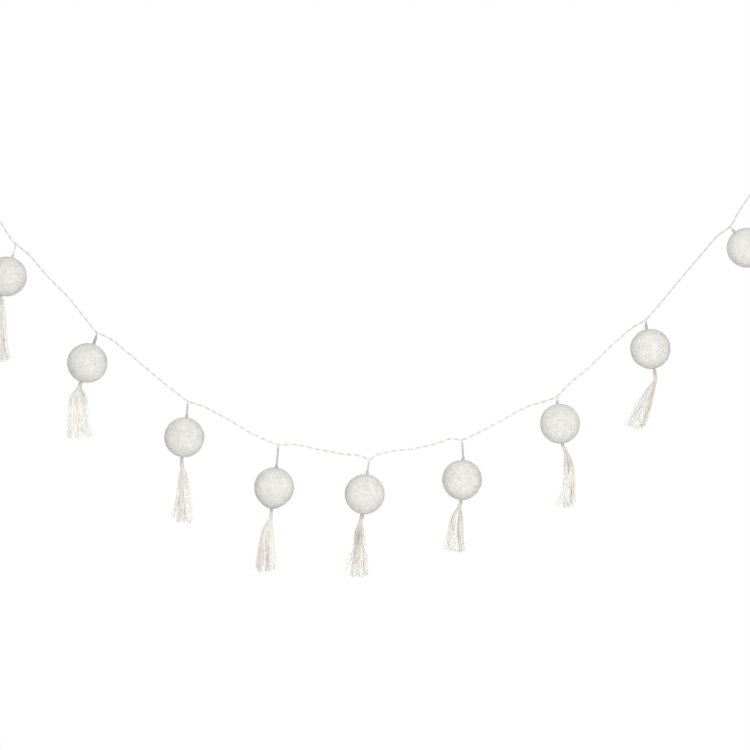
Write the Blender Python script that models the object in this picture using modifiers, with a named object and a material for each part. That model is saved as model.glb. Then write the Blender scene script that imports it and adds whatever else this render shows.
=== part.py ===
"""Pom pom light garland: nine thread-wound ball lights with yarn tassels, hung on one twisted cord.

Metres, with +Z up. The garland hangs in the XZ plane and its front faces -Y. The origin is the inner tip
of the left end loop, where a hook bears.
"""

import math
import random
from collections import namedtuple

import bmesh
import bpy
from mathutils import Vector

MM = 0.001
GAP = 0.3 * MM
WELD_DISTANCE = 0.001 * MM
GOLDEN_ANGLE = math.pi * (3 - math.sqrt(5))
EDGE_ANGLE = math.radians(50)
TUBE_RESOLUTION = 2

# The cord is two wires twisted together, so its section is twice as wide as it is thick.
CORD_WIDTH = 2.2 * MM
CORD_THICKNESS = 1.1 * MM
CORD_PITCH = 24 * MM
CORD_STEPS_A_TURN = 6

# A bound eye at each end of the cord, from its cord end to its tip.
LEFT_HOOK = Vector((0, 0, 0))
RIGHT_HOOK = Vector((1202 * MM, 0, 40 * MM))
LOOP_WIRE_RADIUS = 1.1 * MM
LOOP_WRAP_LENGTH = 9 * MM
LOOP_WRAP_RADIUS = 2.9 * MM
LOOP_WRAP_GROOVE = 0.4 * MM
LOOP_WRAP_RIDGES = 4
LOOP_WRAP_STEPS = 12
LOOP_EYE_SPACING = 3.5 * MM

# One half of the eye's middle line in millimetres, as (x, z) above the wrap's top, from inside the wrap
# to the tip.
LOOP_EYE_HALF = [(1.3, -5), (1.3, 0), (4.6, 5.5), (7, 11.5), (5.2, 17.6), (0, 20)]

# The stem of each light: a ring round the cord, a wire and a sleeve on the ball.
RING_INNER_RADIUS = 1.75 * MM
RING_OUTER_RADIUS = 2.95 * MM
RING_WIDTH = 3.2 * MM
RING_STEPS = 10
STEM_RADIUS = 0.9 * MM
STEM_SPACING = 3.5 * MM
SLEEVE_RADIUS = 2.2 * MM
SLEEVE_TOP_RADIUS = 1.35 * MM
SLEEVE_LENGTH = 4.6 * MM
SLEEVE_STEPS = 10

BALL_RADIUS = 30 * MM
BALL_POLE_RADIUS = 4 * MM
BALL_STEPS = 16
BALL_ROWS = 9

# The tassel of each light: a knot under the ball, a flared head and loose locks of yarn.
KNOT_LENGTH = 6.5 * MM
KNOT_RADIUS = 2.8 * MM
KNOT_NECK_RADIUS = 1.9 * MM
TASSEL_STEPS = 12
HEAD_SHARE = 0.15
MIDDLE_SHARE = 0.5
HEAD_RIM = 0.6 * MM
ROOT_DEPTH = 1 * MM
LOCKS = 20
LOCK_STATIONS = (0.33, 0.66, 1.0)
LOCK_CLEARANCE = 0.35 * MM
LOCK_SPACING_SHARE = 0.346
LOCK_LENGTH_SPREAD = 0.09
TASSEL_DEPTH_SHARE = 0.8

# The cord's route in millimetres from the left hook, as (x, z), without its two ends. Every light hangs
# from a point of it.
ROUTE = [
    (37.5, -62.5), (60, -95), (72, -104), (109.5, -145.5), (136.5, -172.5), (168, -211),
    (181.5, -227.5), (196.5, -234), (231, -260.5), (276, -298), (306, -322),
    (318, -330.5), (333, -335), (375, -356), (411, -377), (438, -390),
    (454, -395.5), (474, -395), (513, -402.5), (553.5, -410), (579, -413),
    (590, -418), (600, -411.5), (621, -406), (658.5, -401), (693, -393), (714, -386.5),
    (729, -388.5), (741, -383.5), (780, -364), (831, -337), (858, -329),
    (872, -323), (885, -309), (921, -278.5), (954, -246), (984, -220.5),
    (1005, -207.5), (1017, -194.5), (1050, -155), (1086, -112.5), (1116, -79.5),
    (1131, -68.5), (1141.5, -50.5), (1161, -21),
]

# The joint is the light's point on the route, the ball's place is in millimetres from the left hook, the
# lean in degrees swings the light's lower end toward +X, and the pinch in millimetres draws the ball's
# lower end out to a point.
Light = namedtuple("Light", "joint ball_x ball_z lean pinch")
LIGHTS = [
    Light(joint=1, ball_x=46, ball_z=-143, lean=-17, pinch=0.5),
    Light(joint=6, ball_x=167, ball_z=-273, lean=-18.5, pinch=0),
    Light(joint=11, ball_x=312.5, ball_z=-384.5, lean=-6.5, pinch=0),
    Light(joint=16, ball_x=447, ball_z=-459.5, lean=-6.5, pinch=3),
    Light(joint=21, ball_x=583, ball_z=-469.5, lean=-7, pinch=0.5),
    Light(joint=27, ball_x=729, ball_z=-448, lean=-3, pinch=1),
    Light(joint=32, ball_x=876, ball_z=-364, lean=7, pinch=0),
    Light(joint=37, ball_x=1011.5, ball_z=-251.5, lean=10.5, pinch=1),
    Light(joint=42, ball_x=1156.5, ball_z=-100, lean=39, pinch=0),
]

# All in millimetres: how far the tassel reaches below the ball, how far its middle line lies from the
# ball's lower end toward +X at the head, middle and hem, and its half width at the same three levels.
Tassel = namedtuple("Tassel", "length head_x middle_x hem_x head_half middle_half hem_half")
TASSELS = [
    Tassel(length=100, head_x=-1, middle_x=-1, hem_x=1, head_half=5.5, middle_half=9, hem_half=16),
    Tassel(length=83, head_x=-5, middle_x=-6.5, hem_x=-3, head_half=7, middle_half=16.5, hem_half=18),
    Tassel(length=96, head_x=-0.5, middle_x=0.5, hem_x=1, head_half=5.5, middle_half=11.5, hem_half=16),
    Tassel(length=93, head_x=-2, middle_x=-8, hem_x=-9, head_half=5, middle_half=12, hem_half=16),
    Tassel(length=95, head_x=-2.5, middle_x=-3.5, hem_x=-8.5, head_half=5.5, middle_half=12, hem_half=18.5),
    Tassel(length=78, head_x=-4, middle_x=-10, hem_x=-10, head_half=6.5, middle_half=12.5, hem_half=16),
    Tassel(length=95, head_x=4, middle_x=8.5, hem_x=4, head_half=5.5, middle_half=9.5, hem_half=13.5),
    Tassel(length=92, head_x=-1, middle_x=-12.5, hem_x=-26.5, head_half=5, middle_half=11, hem_half=14),
    Tassel(length=94, head_x=5, middle_x=6, hem_x=4, head_half=6, middle_half=11, hem_half=15),
]


def clear_scene():
    """Removes whatever the file opened with."""
    for obj in list(bpy.data.objects):
        bpy.data.objects.remove(obj, do_unlink=True)


def make_collection(name):
    """Makes a collection in the scene."""
    collection = bpy.data.collections.new(name)
    bpy.context.scene.collection.children.link(collection)
    return collection


def make_material(name, colour, roughness):
    """Makes a plain Principled material."""
    material = bpy.data.materials.new(name)
    material.use_nodes = True
    shader = material.node_tree.nodes["Principled BSDF"]
    shader.inputs["Base Color"].default_value = (*colour, 1)
    shader.inputs["Roughness"].default_value = roughness
    shader.inputs["Metallic"].default_value = 0
    return material


def place(obj, collection, material, parent=None):
    """Gives an object its collection, material and parent."""
    collection.objects.link(obj)
    obj.data.materials.clear()
    obj.data.materials.append(material)
    obj.parent = parent
    return obj


def smooth(obj):
    """Shades an object smooth but for its edges."""
    obj.data.shade_smooth()
    obj.data.set_sharp_from_angle(angle=EDGE_ANGLE)


def closed_mesh(obj):
    """Returns an object's evaluated shape as a mesh in the object's parent space, its caps welded."""
    bpy.context.scene.collection.objects.link(obj)
    bpy.context.view_layer.update()
    evaluated = obj.evaluated_get(bpy.context.evaluated_depsgraph_get())
    mesh = bpy.data.meshes.new_from_object(evaluated)
    mesh.transform(obj.matrix_world)
    bpy.data.objects.remove(obj)
    welded = bmesh.new()
    welded.from_mesh(mesh)
    bmesh.ops.remove_doubles(welded, verts=welded.verts, dist=WELD_DISTANCE)
    bmesh.ops.recalc_face_normals(welded, faces=welded.faces)
    welded.to_mesh(mesh)
    welded.free()
    return mesh


def union(name, meshes):
    """Joins closed meshes that run into each other to one solid."""
    solid = bpy.data.objects.new(name, meshes[0])
    for mesh in meshes[1:]:
        cutter = bpy.data.objects.new(name + "_cutter", mesh)
        bpy.context.scene.collection.objects.link(cutter)
        join = solid.modifiers.new("Union", "BOOLEAN")
        join.operation = "UNION"
        join.solver = "EXACT"
        join.object = cutter
        solid = bpy.data.objects.new(name, closed_mesh(solid))
        bpy.data.objects.remove(cutter)
    return solid


def turned(profile, steps, axis=Vector((0, 0, 1)), base=Vector((0, 0, 0))):
    """Turns a profile of (radius, height) points, top to bottom, round an axis through a base point."""
    mesh = bpy.data.meshes.new("profile")
    points = [(radius, 0, height) for radius, height in profile]
    mesh.from_pydata(points, [(i, i + 1) for i in range(len(points) - 1)], [])
    obj = bpy.data.objects.new("turned", mesh)
    obj.rotation_mode = "QUATERNION"
    obj.rotation_quaternion = Vector((0, 0, 1)).rotation_difference(axis)
    obj.location = base
    screw = obj.modifiers.new("Screw", "SCREW")
    screw.axis = "Z"
    screw.angle = math.tau
    screw.steps = steps
    screw.render_steps = steps
    screw.use_merge_vertices = True
    screw.merge_threshold = 0.01 * MM
    return closed_mesh(obj)


def round_tube(path, radius):
    """Makes a closed round tube along a path of straight runs."""
    curve = new_curve("tube")
    curve.bevel_depth = radius
    curve.bevel_resolution = TUBE_RESOLUTION
    add_poly(curve, path, [1] * len(path))
    return closed_mesh(bpy.data.objects.new("tube", curve))


def flat_tubes(name, outline, paths, radii, tilts=None):
    """Makes closed tubes with a given outline as their section, and a radius for each point of a path."""
    section = flat_outline(outline)
    curve = new_curve(name)
    curve.bevel_mode = "OBJECT"
    curve.bevel_object = section
    for path, path_radii in zip(paths, radii):
        add_poly(curve, path, path_radii, tilts)
    mesh = closed_mesh(bpy.data.objects.new(name, curve))
    bpy.data.objects.remove(section)
    return mesh


def new_curve(name):
    """Makes an empty curve whose tubes get caps."""
    curve = bpy.data.curves.new(name, "CURVE")
    curve.dimensions = "3D"
    curve.use_fill_caps = True
    return curve


def add_poly(curve, path, radii, tilts=None):
    """Adds a spline of straight runs to a curve."""
    spline = curve.splines.new("POLY")
    spline.points.add(len(path) - 1)
    for i, point in enumerate(path):
        spline.points[i].co = (*point, 1)
        spline.points[i].radius = radii[i]
        spline.points[i].tilt = tilts[i] if tilts else 0


def flat_outline(points):
    """Makes a closed flat outline that a curve can take as its section."""
    curve = bpy.data.curves.new("section", "CURVE")
    curve.dimensions = "2D"
    spline = curve.splines.new("POLY")
    spline.points.add(len(points) - 1)
    for i, (x, y) in enumerate(points):
        spline.points[i].co = (x, y, 0, 1)
    spline.use_cyclic_u = True
    outline = bpy.data.objects.new("section", curve)
    bpy.context.scene.collection.objects.link(outline)
    return outline


def tangents(points):
    """Returns a smooth curve's direction, per unit of length, at each of its points."""
    chords = [after - before for before, after in zip(points, points[1:])]
    found = [chords[0].normalized()]
    for before, after in zip(chords, chords[1:]):
        near, far = before.length, after.length
        found.append((before * (far / near) + after * (near / far)) / (near + far))
    found.append(chords[-1].normalized())
    return found


def smooth_path(points, spacing):
    """Reads points at an even spacing, ends included, from a smooth curve through the given points."""
    slopes = tangents(points)
    fine = [points[0]]
    for i in range(len(points) - 1):
        chord = (points[i + 1] - points[i]).length
        count = max(8, round(4 * chord / spacing))
        for k in range(1, count + 1):
            t = k / count
            fine.append(
                points[i] * (2 * t**3 - 3 * t**2 + 1)
                + slopes[i] * (chord * (t**3 - 2 * t**2 + t))
                + points[i + 1] * (3 * t**2 - 2 * t**3)
                + slopes[i + 1] * (chord * (t**3 - t**2))
            )
    lengths = [0]
    for before, after in zip(fine, fine[1:]):
        lengths.append(lengths[-1] + (after - before).length)
    total = max(1, round(lengths[-1] / spacing))
    path = []
    here = 0
    for k in range(total + 1):
        wanted = lengths[-1] * k / total
        while here < len(fine) - 2 and lengths[here + 1] < wanted:
            here += 1
        share = (wanted - lengths[here]) / (lengths[here + 1] - lengths[here])
        path.append(fine[here].lerp(fine[here + 1], share))
    return path


def loop_axis(hook, neighbour):
    """Returns the direction from the cord to a hook, and the point where the cord ends."""
    axis = (hook - neighbour).normalized()
    reach = GAP + LOOP_WRAP_LENGTH + LOOP_EYE_HALF[-1][1] * MM - LOOP_WIRE_RADIUS
    return axis, hook - axis * reach


def route_points():
    """Returns the cord's whole route, from the left loop's wrap to the right one's."""
    inner = [Vector((x * MM, 0, z * MM)) for x, z in ROUTE]
    left_end = loop_axis(LEFT_HOOK, inner[0])[1]
    right_end = loop_axis(RIGHT_HOOK, inner[-1])[1]
    return [left_end, *inner, right_end]


def make_cord(collection, material):
    """Makes the cord as one flat section that turns along the route."""
    width, thickness = CORD_WIDTH / 2, CORD_THICKNESS / 2
    outline = [(-width, -thickness), (width, -thickness), (width, thickness), (-width, thickness)]
    path = smooth_path(route_points(), CORD_PITCH / CORD_STEPS_A_TURN)
    tilts = [i % CORD_STEPS_A_TURN * math.tau / CORD_STEPS_A_TURN for i in range(len(path))]
    mesh = flat_tubes("cord", outline, [path], [[1] * len(path)], tilts)
    place(bpy.data.objects.new("cord", mesh), collection, material)


def make_loop(name, hook, neighbour, collection, material):
    """Makes an end loop: a small eye of the cord, bound by a ridged wrap."""
    axis, cord_end = loop_axis(hook, neighbour)
    wrap_top = GAP + LOOP_WRAP_LENGTH
    half = [Vector((x * MM, 0, z * MM + wrap_top)) for x, z in LOOP_EYE_HALF]
    outline = half + [Vector((-point.x, 0, point.z)) for point in reversed(half[:-1])]
    eye = round_tube(smooth_path(outline, LOOP_EYE_SPACING), LOOP_WIRE_RADIUS)
    half_ridge = LOOP_WRAP_LENGTH / (2 * LOOP_WRAP_RIDGES)
    profile = [(0, wrap_top)]
    for k in range(2 * LOOP_WRAP_RIDGES + 1):
        groove = 0 if k % 2 else LOOP_WRAP_GROOVE
        profile.append((LOOP_WRAP_RADIUS - groove, wrap_top - k * half_ridge))
    profile.append((0, GAP))
    loop = union(name, [turned(profile, LOOP_WRAP_STEPS), eye])
    loop.rotation_mode = "QUATERNION"
    loop.rotation_quaternion = Vector((0, 0, 1)).rotation_difference(axis)
    loop.location = cord_end
    smooth(loop)
    place(loop, collection, material)


def light_axis(light):
    """Returns the direction from a light's tassel to its stem."""
    lean = math.radians(light.lean)
    return Vector((-math.sin(lean), 0, math.cos(lean)))


def make_ball(name, light, collection, material, parent):
    """Makes a ball, flat at its two ends, with its lower end drawn out by the light's pinch."""
    polar = math.asin(BALL_POLE_RADIUS / BALL_RADIUS)
    profile = [(0, BALL_RADIUS * math.cos(polar))]
    for k in range(BALL_ROWS + 1):
        angle = polar + (math.pi - 2 * polar) * k / BALL_ROWS
        radius, height = BALL_RADIUS * math.sin(angle), BALL_RADIUS * math.cos(angle)
        if height < 0:
            height -= light.pinch * MM * (height / BALL_RADIUS) ** 6
        profile.append((radius, height))
    profile.append((0, profile[-1][1]))
    ball = bpy.data.objects.new(name, turned(profile, BALL_STEPS))
    ball.rotation_mode = "QUATERNION"
    ball.rotation_quaternion = Vector((0, 0, 1)).rotation_difference(light_axis(light))
    smooth(ball)
    place(ball, collection, material, parent)
    return profile[0][1], -profile[-1][1]


def make_stem(name, light, joint, direction, pole, collection, material, parent):
    """Makes the stem of a light, in the space of its ball's centre, from the cord to the ball's top."""
    axis = light_axis(light)
    inner, outer, end = RING_INNER_RADIUS, RING_OUTER_RADIUS, RING_WIDTH / 2
    ring_profile = [(inner, end), (outer, end), (outer, -end), (inner, -end), (inner, end)]
    ring = turned(ring_profile, RING_STEPS, direction, joint)
    foot = axis * (pole + GAP)
    sleeve_profile = [
        (0, SLEEVE_LENGTH), (SLEEVE_TOP_RADIUS, SLEEVE_LENGTH), (SLEEVE_RADIUS, SLEEVE_LENGTH * 0.7),
        (SLEEVE_RADIUS, 0), (0, 0),
    ]
    sleeve = turned(sleeve_profile, SLEEVE_STEPS, axis, foot)
    down = (foot - joint).normalized()
    radial = (down - direction * down.dot(direction)).normalized()
    wall = (inner + outer) / 2
    start = joint + radial * wall
    bend = joint + radial * (wall + STEM_RADIUS)
    route = [start, *smooth_path([bend, foot + axis * SLEEVE_LENGTH * 0.8], STEM_SPACING)]
    wire = round_tube(route, STEM_RADIUS)
    stem = union(name, [ring, wire, sleeve])
    smooth(stem)
    place(stem, collection, material, parent)


def three_levels(share, head, middle, hem):
    """Reads a value at a share of a tassel's length from its values at the head, middle and hem."""
    a, b, c = HEAD_SHARE, MIDDLE_SHARE, 1
    return (
        head * (share - b) * (share - c) / ((a - b) * (a - c))
        + middle * (share - a) * (share - c) / ((b - a) * (b - c))
        + hem * (share - a) * (share - b) / ((c - a) * (c - b))
    )


def make_tassel(name, light, tassel, pole, seed, collection, material, parent):
    """Makes a tassel, in the space of its ball's centre: its knot and head, with the locks' roots in them."""
    chance = random.Random(seed)
    axis = light_axis(light)
    top = axis * -(pole + GAP)
    knot_profile = [
        (0, 0), (KNOT_RADIUS * 0.8, 0), (KNOT_RADIUS, -KNOT_LENGTH * 0.3), (KNOT_RADIUS, -KNOT_LENGTH * 0.6),
        (KNOT_NECK_RADIUS, -KNOT_LENGTH), (0, -KNOT_LENGTH),
    ]
    knot = turned(knot_profile, TASSEL_STEPS, axis, top)

    length = tassel.length * MM
    head_top = top - axis * (KNOT_LENGTH * 0.75)
    head_foot = top + Vector((tassel.head_x * MM, 0, -length * HEAD_SHARE))
    height = head_top.z - head_foot.z
    rim = tassel.head_half * MM + HEAD_RIM
    head_profile = [
        (0, 0), (KNOT_NECK_RADIUS * 0.7, 0), (KNOT_NECK_RADIUS * 1.2, -height * 0.3),
        (rim * 0.7, -height * 0.65), (rim, -height + 1.6 * ROOT_DEPTH), (rim, -height), (0, -height),
    ]
    head = turned(head_profile, TASSEL_STEPS)
    skew = (head_foot.x - head_top.x) / -height
    for vertex in head.vertices:
        vertex.co.x += skew * vertex.co.z
        vertex.co += head_top

    half_at_root = tassel.head_half * MM - ROOT_DEPTH
    root_middle = head_foot + Vector((skew * ROOT_DEPTH, 0, ROOT_DEPTH))
    paths, radii = [], []
    for i in range(LOCKS):
        away = math.sqrt((i + 0.5) / LOCKS)
        angle = i * GOLDEN_ANGLE + seed
        across = Vector((away * math.cos(angle), away * math.sin(angle), 0))
        reach = 1 - chance.uniform(0, LOCK_LENGTH_SPREAD)
        path = [root_middle + across * half_at_root]
        path_radii = [lock_radius(half_at_root)]
        for station in LOCK_STATIONS:
            share = station * reach
            half = three_levels(station, tassel.head_half, tassel.middle_half, tassel.hem_half) * MM
            middle = three_levels(station, tassel.head_x, tassel.middle_x, tassel.hem_x) * MM
            depth = 1 + (TASSEL_DEPTH_SHARE - 1) * station
            radius = lock_radius(half * depth)
            spread = Vector((across.x * (half - radius), across.y * (half * depth - radius), 0))
            path.append(top + spread + Vector((middle, 0, -length * share)))
            path_radii.append(radius)
        paths.append(path)
        radii.append(path_radii)
    triangle = [(math.cos(i * math.tau / 3), math.sin(i * math.tau / 3)) for i in range(3)]
    locks = flat_tubes("locks", triangle, paths, radii)
    place(union(name, [knot, head, locks]), collection, material, parent)


def lock_radius(half):
    """Returns the radius that keeps the locks apart where they spread over a section of this half width."""
    return (half * LOCK_SPACING_SHARE - LOCK_CLEARANCE) / 2


def main():
    clear_scene()
    garland = make_collection("pom_pom_light_garland")
    wire_clear = make_material("clear_wire", (0.78, 0.78, 0.76), 0.3)
    thread_white = make_material("white_thread", (0.83, 0.82, 0.78), 0.85)
    yarn_cream = make_material("cream_yarn", (0.84, 0.79, 0.69), 0.9)

    route = route_points()
    slopes = tangents(route)
    make_cord(garland, wire_clear)
    make_loop("loop_left", LEFT_HOOK, route[1], garland, wire_clear)
    make_loop("loop_right", RIGHT_HOOK, route[-2], garland, wire_clear)

    for number, (light, tassel) in enumerate(zip(LIGHTS, TASSELS), start=1):
        centre = Vector((light.ball_x * MM, 0, light.ball_z * MM))
        middle = bpy.data.objects.new(f"light_{number}", None)
        middle.location = centre
        garland.objects.link(middle)
        top, bottom = make_ball(f"ball_{number}", light, garland, thread_white, middle)
        joint = route[light.joint + 1] - centre
        direction = slopes[light.joint + 1].normalized()
        make_stem(f"stem_{number}", light, joint, direction, top, garland, wire_clear, middle)
        make_tassel(f"tassel_{number}", light, tassel, bottom, number, garland, yarn_cream, middle)


main()
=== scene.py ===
# Pom pom light garland: the looks of nine thread-wound ball lights with yarn tassels on a twisted cord.
import math
import random
from collections import namedtuple

import bpy
import numpy as np
from mathutils import Matrix, Vector


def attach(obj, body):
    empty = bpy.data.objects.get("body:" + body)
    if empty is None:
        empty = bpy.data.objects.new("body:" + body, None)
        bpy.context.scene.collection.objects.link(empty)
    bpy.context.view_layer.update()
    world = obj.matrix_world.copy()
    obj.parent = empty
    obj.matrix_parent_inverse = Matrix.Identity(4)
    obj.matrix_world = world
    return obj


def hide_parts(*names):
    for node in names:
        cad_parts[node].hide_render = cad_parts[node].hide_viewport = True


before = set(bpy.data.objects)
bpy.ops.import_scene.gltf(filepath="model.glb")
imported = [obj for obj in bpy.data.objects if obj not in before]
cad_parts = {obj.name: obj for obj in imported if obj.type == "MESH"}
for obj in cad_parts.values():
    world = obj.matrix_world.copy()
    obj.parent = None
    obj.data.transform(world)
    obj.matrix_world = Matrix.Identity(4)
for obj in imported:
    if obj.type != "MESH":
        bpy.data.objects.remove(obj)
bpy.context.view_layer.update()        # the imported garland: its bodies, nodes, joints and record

mm = 0.001
goldenAngle = math.pi * (3 - math.sqrt(5))
up = Vector((0, 0, 1))
pieceGap = 0.3 * mm      # left between a piece and the next, as in the part's source


# The camera looks straight at the wall, at the photo's scale

photoView = {
    "pixels": 750,
    "metresPerPixel": 1.5 * mm,
    "leftHookPixel": (-24, 181),     # where the left loop's tip lies, just outside the photo
    "lens": 85,
    "sensor": 36,
}


def photoPlace(pixelX, pixelY):
    # a photo pixel as a point of the plane that the garland hangs in
    hookX, hookY = photoView["leftHookPixel"]
    scale = photoView["metresPerPixel"]
    return Vector(((pixelX - hookX) * scale, 0, (hookY - pixelY) * scale))


pictureMiddle = photoPlace(photoView["pixels"] / 2, photoView["pixels"] / 2)
pictureWidth = photoView["pixels"] * photoView["metresPerPixel"]
cameraData = bpy.data.cameras.new("camera")
cameraData.lens = photoView["lens"]
cameraData.sensor_width = photoView["sensor"]
camera = bpy.data.objects.new("camera", cameraData)
camera.location = pictureMiddle - Vector((0, pictureWidth * photoView["lens"] / photoView["sensor"], 0))
camera.rotation_euler = (math.radians(90), 0, 0)
bpy.context.scene.collection.objects.link(camera)
bpy.context.scene.camera = camera
print("camera placed at", [round(value, 3) for value in camera.location])


# The plan of the garland, in millimetres from the left hook. The route and the balls lie as in the
# part's source.

hooks = {"left": Vector((0, 0, 0)), "right": Vector((1202, 0, 40)) * mm}
routePlan = [
    (37.5, -62.5), (60, -95), (72, -104), (109.5, -145.5), (136.5, -172.5), (168, -211),
    (181.5, -227.5), (196.5, -234), (231, -260.5), (276, -298), (306, -322),
    (318, -330.5), (333, -335), (375, -356), (411, -377), (438, -390),
    (454, -395.5), (474, -395), (513, -402.5), (553.5, -410), (579, -413),
    (590, -418), (600, -411.5), (621, -406), (658.5, -401), (693, -393), (714, -386.5),
    (729, -388.5), (741, -383.5), (780, -364), (831, -337), (858, -329),
    (872, -323), (885, -309), (921, -278.5), (954, -246), (984, -220.5),
    (1005, -207.5), (1017, -194.5), (1050, -155), (1086, -112.5), (1116, -79.5),
    (1131, -68.5), (1141.5, -50.5), (1161, -21),
]
# Each light: its joint on the route, its ball's middle and lean, how far the ball's lower end is
# drawn out, its stem's width as a share and how light it is, and its sleeve's length.
lightPlan = [
    dict(joint=1, ballX=46, ballZ=-143, lean=-17, pinch=0.5, width=0.85, shade=0.9, sleeve=4.6),
    dict(joint=6, ballX=167, ballZ=-273, lean=-18.5, pinch=0, width=1, shade=0.1, sleeve=12),
    dict(joint=11, ballX=312.5, ballZ=-384.5, lean=-6.5, pinch=0, width=1.1, shade=0.4, sleeve=4.6),
    dict(joint=16, ballX=447, ballZ=-459.5, lean=-6.5, pinch=3, width=1.1, shade=0.4, sleeve=4.6),
    dict(joint=21, ballX=583, ballZ=-469.5, lean=-7, pinch=0.5, width=1.1, shade=0.65, sleeve=4.6),
    dict(joint=27, ballX=729, ballZ=-448, lean=-3, pinch=1, width=1.1, shade=0.4, sleeve=4.6),
    dict(joint=32, ballX=876, ballZ=-364, lean=7, pinch=0, width=0.95, shade=0.7, sleeve=4.6),
    dict(joint=37, ballX=1011.5, ballZ=-251.5, lean=10.5, pinch=1, width=1, shade=0.15, sleeve=8.5),
    dict(joint=42, ballX=1156.5, ballZ=-100, lean=39, pinch=0, width=1, shade=0.5, sleeve=4.6),
]
# Each tassel: its length, the length and radius of its binding, where its neck ends (sideways,
# down), how soon its locks open out, how light it is at the places in yarnPlan, and its locks.
# A lock's place is given sideways at its middle and at the hem, its reach as a share of the length,
# and its shade is added to the tassel's.
Lock = namedtuple("Lock", "middle hem reach yarns shade")
tasselPlan = [
    dict(length=100, binding=(8, 3), neck=(2, 8), opening=0.65, shades=(0.5, 0.6, 0.62, 0.76), locks=[
        Lock(-7.5, -13, 0.98, 18, 0), Lock(-3.5, -5, 1, 20, -0.1), Lock(1, 2, 1, 20, -0.1),
        Lock(4.5, 8, 0.99, 18, 0.05), Lock(7, 14, 0.97, 8, 0.1)]),
    dict(length=85, binding=(6, 3), neck=(-2, 6.5), opening=0.75, shades=(0.5, 0.6, 0.88, 0.92), locks=[
        Lock(-16.5, -16.5, 1, 19, -0.15), Lock(-9, -7.5, 0.99, 22, 0), Lock(-3, -0.7, 1, 20, 0.1),
        Lock(2.3, 7.5, 1, 14, -0.1), Lock(9, 15.8, 0.98, 8, -0.05)]),
    dict(length=98, binding=(13, 2.6), neck=(0.3, 14), opening=0.65, shades=(0.35, 0.5, 0.72, 0.88), locks=[
        Lock(-5, -13.5, 0.94, 12, 0), Lock(-2, -5.4, 0.99, 18, -0.2), Lock(2.1, 2.9, 1, 24, 0.1),
        Lock(6, 9.6, 1, 22, 0.05), Lock(9.5, 13.5, 1, 8, 0)]),
    dict(length=95, binding=(5, 2.8), neck=(-1.5, 14), opening=0.65, shades=(0.35, 0.45, 0.64, 0.6), locks=[
        Lock(-16.5, -21.5, 0.97, 8, 0), Lock(-13.2, -17.5, 0.99, 22, -0.15), Lock(-9.5, -12.5, 0.9, 12, 0.1),
        Lock(-5.5, -5.5, 0.99, 24, 0), Lock(-2, -1, 0.98, 12, 0.15), Lock(0, 2.5, 0.99, 7, 0.1)]),
    dict(length=95, binding=(8, 3.4), neck=(-2.6, 10), opening=0.58, shades=(0.2, 0.15, 0.5, 0.85), locks=[
        Lock(-13, -26, 0.94, 7, 0), Lock(-10, -14.5, 0.99, 18, -0.2), Lock(-5, -7, 1, 20, 0.1),
        Lock(-1, -1, 1, 18, 0.05), Lock(1.5, 5, 0.98, 16, -0.1), Lock(2.8, 8.5, 0.96, 8, 0.15)]),
    dict(length=78, binding=(7, 2.8), neck=(-2.1, 9.5), opening=0.56, shades=(0.15, 0.5, 0.7, 0.82), locks=[
        Lock(-17, -21, 0.96, 10, -0.05), Lock(-12.4, -14.5, 0.98, 22, 0), Lock(-7.5, -7.5, 1, 22, 0.2),
        Lock(-2, -1.6, 1, 20, -0.3), Lock(0.5, 2.5, 0.99, 12, -0.15)]),
    dict(length=97, binding=(5, 2.6), neck=(4.4, 10.5), opening=0.65, shades=(0.2, 0.2, 0.74, 0.64), locks=[
        Lock(5, -8, 0.99, 5, 0), Lock(4.8, 1.6, 0.97, 14, 0.1), Lock(9, 6.2, 1, 26, 0.05),
        Lock(13.5, 12, 0.97, 22, -0.15), Lock(17, 17.5, 0.93, 8, 0)]),
    dict(length=92, binding=(12, 2.7), neck=(2, 15), opening=0.42, shades=(0.15, 0.28, 0.5, 0.7), locks=[
        Lock(-22, -41, 0.93, 7, 0), Lock(-18.8, -34, 0.95, 16, 0.05), Lock(-14.5, -27, 1, 22, 0.1),
        Lock(-10, -20, 0.97, 22, -0.1), Lock(-6.4, -15.5, 0.93, 14, -0.25)]),
    dict(length=94, binding=(8, 2.9), neck=(3, 11), opening=0.65, shades=(0.6, 0.6, 0.75, 0.8), locks=[
        Lock(-2.5, -8.5, 0.98, 14, 0), Lock(2, -2.5, 1, 18, -0.1), Lock(6, 4, 1, 22, 0.1),
        Lock(10, 10, 0.99, 18, -0.05), Lock(13.5, 15, 0.97, 10, 0)]),
]


# Small helpers

def deselectAll():
    bpy.ops.object.select_all(action="DESELECT")


def takeHold(piece):
    deselectAll()
    piece.select_set(True)
    bpy.context.view_layer.objects.active = piece


def freeze(piece):
    # puts the piece's place into its mesh
    takeHold(piece)
    bpy.ops.object.transform_apply(location=True, rotation=True, scale=True)


def bevelEdges(piece, width, segments):
    # rounds the sharp edges of the piece in hand and smooths its faces
    bevel = piece.modifiers.new("bevel", "BEVEL")
    bevel.limit_method = "ANGLE"
    bevel.width = width
    bevel.segments = segments
    bpy.ops.object.modifier_apply(modifier=bevel.name)
    bpy.ops.object.shade_smooth_by_angle(angle=math.radians(40))


def joinAll(name, pieces):
    takeHold(pieces[0])
    for piece in pieces:
        piece.select_set(True)
    bpy.ops.object.join()
    joined = bpy.context.object
    joined.name = name
    joined.data.name = name
    return joined


def addTint(piece, values):
    # one number for each point, which the materials read as how light it is: its own tone, and in places
    # painted light and shade
    tint = piece.data.attributes.new("tint", "FLOAT", "POINT")
    tint.data.foreach_set("value", np.asarray(values, dtype=np.float32))


def tintEvenly(piece, value):
    addTint(piece, [value] * len(piece.data.vertices))


def wear(piece, material):
    piece.data.materials.clear()
    piece.data.materials.append(material)


def bodyPiece(piece, node):
    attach(piece, "root")
    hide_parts(node)


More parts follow.
